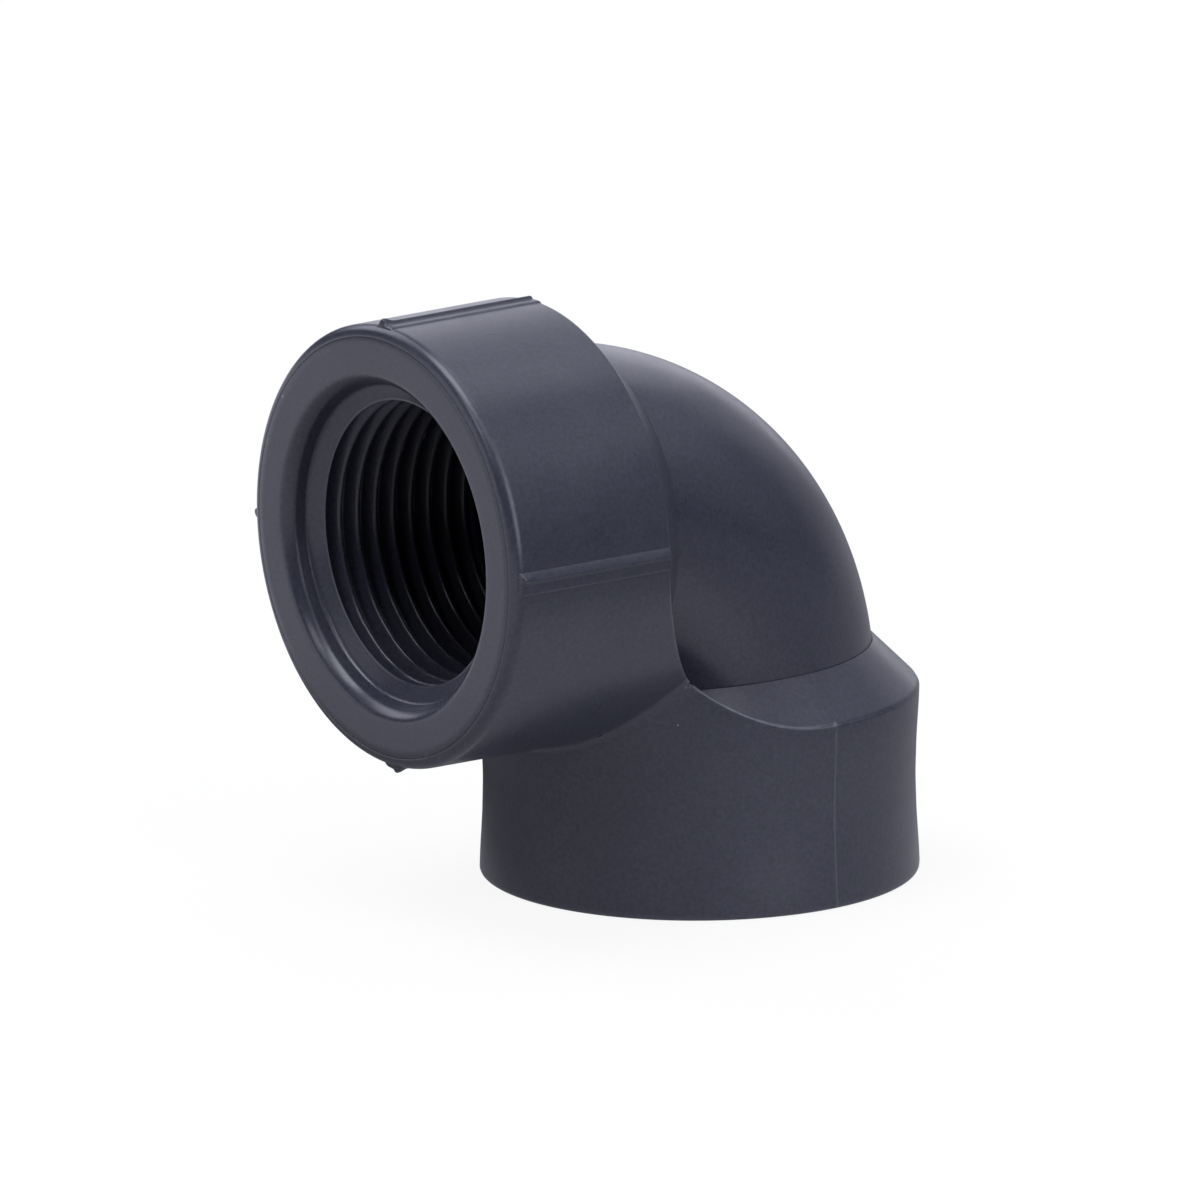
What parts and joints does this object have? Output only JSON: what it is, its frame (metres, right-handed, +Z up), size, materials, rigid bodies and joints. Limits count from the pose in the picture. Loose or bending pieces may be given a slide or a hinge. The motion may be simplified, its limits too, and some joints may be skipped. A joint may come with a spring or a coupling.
{
  "type": "pvc elbow fitting",
  "caption": "Right-angle irrigation pipe elbow with a plain slip socket at one end and a ribbed hub with a tapered female thread at the other.",
  "frame": {"origin": "centre of the slip socket's mouth, on the mouth plane", "axes": "+Z up the socket's axis into the elbow; the threaded hub opens towards -Y; x = 0 is the plane of symmetry of everything but the ribs and the thread"},
  "size_m": [0.048, 0.0629, 0.064],
  "materials": {
    "moulded_body": "satin dark blue-grey rigid PVC with a fine moulded texture",
    "thread_core": "the same PVC, smoother where it came off the polished thread core"
  },
  "bodies": {
    "root": {"slip_socket": "moulded_body", "elbow_bend": "moulded_body", "corner_web": "moulded_body", "threaded_hub": "moulded_body", "pipe_thread": "thread_core", "grip_collar": "moulded_body", "grip_ribs": "moulded_body"}
  },
  "joints": []
}
